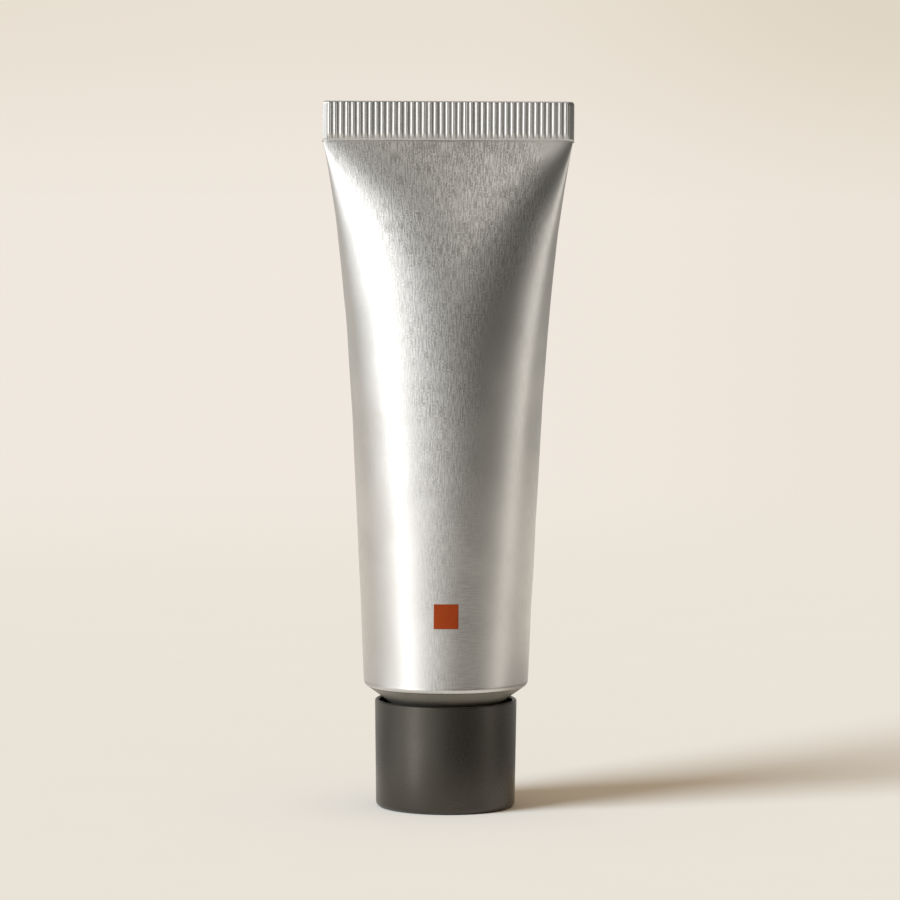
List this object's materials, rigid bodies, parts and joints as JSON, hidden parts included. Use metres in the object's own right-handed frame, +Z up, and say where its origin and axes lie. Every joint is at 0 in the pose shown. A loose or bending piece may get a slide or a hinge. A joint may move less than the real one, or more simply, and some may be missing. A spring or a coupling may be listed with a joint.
{
  "type": "barrier cream tube",
  "caption": "Soft squeeze tube with a flat ribbed end seal, standing on a threaded cylindrical screw cap, with a moulded shoulder and neck and a sealing liner.",
  "frame": {"origin": "centre of the cap's flat foot, on the surface that the tube stands on", "axes": "+Z up along the tube's axis, X along the flat seal, -Y towards the printed front"},
  "size_m": [0.0532, 0.035, 0.15],
  "materials": {
    "cap_plastic": "satin",
    "liner_foam": "matte",
    "shoulder_plastic": "satin",
    "sleeve_laminate": "satin",
    "print_ink": "satin"
  },
  "bodies": {
    "cap": {"screw_cap": "cap_plastic"},
    "liner": {"cap_liner": "liner_foam"},
    "tube": {"shoulder_neck": "shoulder_plastic", "tube_sleeve": "sleeve_laminate", "printed_square": "print_ink"}
  },
  "joints": [
    {"name": "unscrew_turn", "type": "hinge", "parent": "cap", "child": "liner", "pos_m": [0, 0, 0.0088], "axis": [0, 0, 1], "range_deg": [0, 900]},
    {"name": "unscrew_lift", "type": "slide", "parent": "liner", "child": "tube", "axis": [0, 0, 1], "range_m": [0, 0.00625]}
  ],
  "couplings": [
    {"joint": "unscrew_turn", "follows": "unscrew_lift", "rad_per_m": 2513.3}
  ]
}
